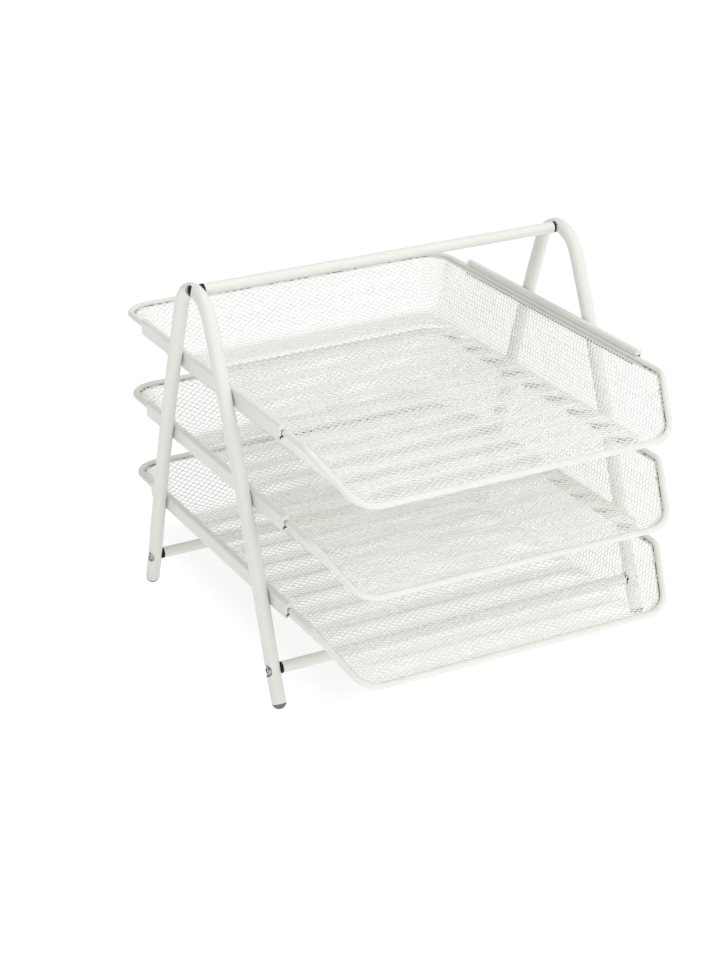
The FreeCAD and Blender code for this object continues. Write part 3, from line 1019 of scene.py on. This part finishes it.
class TRAYS_OT_screws(bpy.types.Operator):
    """Pan-head screws with a cross recess, bright on the cross bars and darkened on the handle as a painted
    dark reflection
    """
    bl_idname = "trays.screws"
    bl_label = "Screws"

    def execute(self, context):
        form = context.scene.tray_stack.screw
        finish = context.scene.tray_stack.finish
        chrome = bright_plate("bright_plate", finish.chrome)
        # the same plate darkened, a painted dark reflection for the handle's screws
        dark = bright_plate("dark_plate", finish.dark_plate)
        low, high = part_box("handle_right_screw")
        length = high.x - low.x - form.head_height
        blank = screw_blank(form, length)
        cutter = cross_cutter(form)
        apply_modifier(blank, "BOOLEAN", operation="DIFFERENCE", object=cutter, solver="EXACT")
        bpy.ops.object.shade_smooth_by_angle(angle=CREASE)
        for number, bar in enumerate(BARS):
            for side in SIDES:
                node = bar + "_" + side + "_screw"
                low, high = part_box(node)
                middle = (low + high) / 2
                if side == "right":
                    seat, facing = high.x - form.head_height, 0
                else:
                    seat, facing = low.x + form.head_height, math.pi
                place = Matrix.Translation((seat, middle.y, middle.z)) @ Matrix.Rotation(facing, 4, "Z")
                place = place @ Matrix.Rotation(form.first_turn + form.next_turn * number, 4, "X")
                piece = add_object(node + "_bright", blank.data.copy())
                piece.data.transform(place)
                dress(piece, "frame", [node], dark if bar == "handle" else chrome)
        for helper in (blank, cutter):
            bpy.data.objects.remove(helper)
        return {"FINISHED"}


def camera_axes(stage):
    """Right, up and back of the camera."""
    back = Vector((
        math.sin(stage.azimuth) * math.cos(stage.elevation),
        -math.cos(stage.azimuth) * math.cos(stage.elevation),
        math.sin(stage.elevation),
    ))
    right = Vector((0, 0, 1)).cross(back).normalized()
    up = back.cross(right)
    turned = right * math.cos(stage.roll) + up * math.sin(stage.roll)
    return turned, back.cross(turned), back


def add_lamp(name, place, aim, size, power, spread=math.pi):
    """Large soft lamp at a place, facing a point."""
    data = bpy.data.lights.new(name, "AREA")
    data.spread = spread
    data.shape = "DISK"
    data.size = size
    data.energy = power
    lamp = add_object(name, data)
    lamp.location = place
    lamp.rotation_euler = (Vector(aim) - Vector(place)).to_track_quat("-Z", "Y").to_euler()


def floor_finish(stage):
    """Pale floor that keeps a light shadow and shows white to the camera."""
    recipe = Recipe("pale_floor")
    lit = recipe.shader
    lit.inputs["Base Color"].default_value = (*stage.floor_colour, 1)
    lit.inputs["Roughness"].default_value = 0.9
    lit.inputs["Specular IOR Level"].default_value = 0
    lit.inputs["Emission Color"].default_value = WHITE
    lit.inputs["Emission Strength"].default_value = stage.table_glow
    white = recipe.add("ShaderNodeEmission")
    white.inputs["Strength"].default_value = stage.floor_glow
    matt = recipe.add("ShaderNodeBsdfDiffuse")
    matt.inputs["Color"].default_value = (*stage.floor_colour, 1)
    # how far a point lies past the part of the floor that shows the shadow
    place = recipe.place
    steps = (("SUBTRACT", stage.shadow_middle), ("ABSOLUTE", None), ("SUBTRACT", stage.shadow_reach))
    for operation, value in steps:
        step = recipe.add("ShaderNodeVectorMath", operation=operation)
        recipe.join(place, step.inputs[0])
        if value is not None:
            step.inputs[1].default_value = value
        place = step.outputs["Vector"]
    sides = recipe.axes(place)
    past = recipe.combine("MAXIMUM", sides["X"], sides["Y"])
    half = stage.shadow_fade / 2
    fade = recipe.map_range(past, start=-half, end=half, low=stage.shadow_share, high=0)
    fade.interpolation_type = "SMOOTHSTEP"
    shaded = recipe.mix(fade.outputs["Result"], white.outputs["Emission"], matt.outputs["BSDF"])
    recipe.show(lit.outputs["BSDF"], shaded, "Material Output")
    return recipe.material


def even_sky(stage):
    """Soft light all round, stronger from the right, that shows white to the camera."""
    recipe = Recipe("even_sky", "Background", "Generated", "worlds")
    sky = recipe.shader
    sky.inputs["Color"].default_value = WHITE
    across = recipe.axes(recipe.place)["X"]
    strength = recipe.map_range(across, start=-1, end=1, low=stage.left_sky, high=stage.right_sky)
    recipe.join(strength.outputs["Result"], sky.inputs["Strength"])
    white = recipe.add("ShaderNodeBackground")
    white.inputs["Color"].default_value = WHITE
    recipe.show(sky.outputs["Background"], white.outputs["Background"], "World Output")
    bpy.context.scene.world = recipe.material


class TRAYS_OT_stage(bpy.types.Operator):
    """Pale floor, soft light and the camera"""
    bl_idname = "trays.stage"
    bl_label = "Stage"

    def execute(self, context):
        stage = context.scene.tray_stack.stage
        deselect()
        bpy.ops.mesh.primitive_plane_add(size=stage.floor_size, location=(0, 0, 0))
        floor = context.active_object
        floor.name = "floor"
        paint(floor, floor_finish(stage))
        even_sky(stage)
        add_lamp("key", stage.key_place, stage.target, stage.lamp_size, stage.key_light)
        add_lamp("top", stage.top_place, stage.target, stage.lamp_size, stage.top_light)
        add_lamp("fill", stage.fill_place, stage.target, stage.lamp_size, stage.fill_light)
        add_lamp("side", stage.side_place, stage.side_aim, stage.side_size, stage.side_light,
                 stage.side_spread)
        right, up, back = camera_axes(stage)
        data = bpy.data.cameras.new("camera")
        data.lens = stage.lens
        data.shift_x = stage.shift_x
        data.shift_y = stage.shift_y
        camera = add_object("camera", data)
        eye = Vector(stage.target) + back * stage.distance
        turn = Matrix((right, up, back)).transposed().to_4x4()
        camera.matrix_world = Matrix.Translation(eye) @ turn
        context.scene.camera = camera
        context.scene.view_settings.view_transform = "Standard"
        return {"FINISHED"}


OPERATORS = (
    TRAYS_OT_coated_steel,
    TRAYS_OT_plastic_fittings,
    TRAYS_OT_inserts,
    TRAYS_OT_screws,
    TRAYS_OT_mesh_baskets,
    TRAYS_OT_stage,
)


class TRAYS_PT_sidebar(bpy.types.Panel):
    """Lists the pieces of the stack"""
    bl_idname = "TRAYS_PT_sidebar"
    bl_label = "Document trays"
    bl_space_type = "VIEW_3D"
    bl_region_type = "UI"
    bl_category = "Trays"

    def draw(self, context):
        for operator in OPERATORS:
            self.layout.operator(operator.bl_idname)


FORMS = (BasketForm, RailForm, MeshForm, ScrewForm, Finishes, StageForm, TrayStack)
CLASSES = FORMS + OPERATORS + (TRAYS_PT_sidebar,)


def register():
    for cls in CLASSES:
        bpy.utils.register_class(cls)
    bpy.types.Scene.tray_stack = PointerProperty(type=TrayStack)


def unregister():
    del bpy.types.Scene.tray_stack
    for cls in reversed(CLASSES):
        bpy.utils.unregister_class(cls)


def main():
    register()
    bpy.ops.trays.coated_steel()
    bpy.ops.trays.plastic_fittings()
    bpy.ops.trays.inserts()
    bpy.ops.trays.screws()
    bpy.ops.trays.mesh_baskets()
    bpy.ops.trays.stage()


if __name__ == "__main__":
    main()
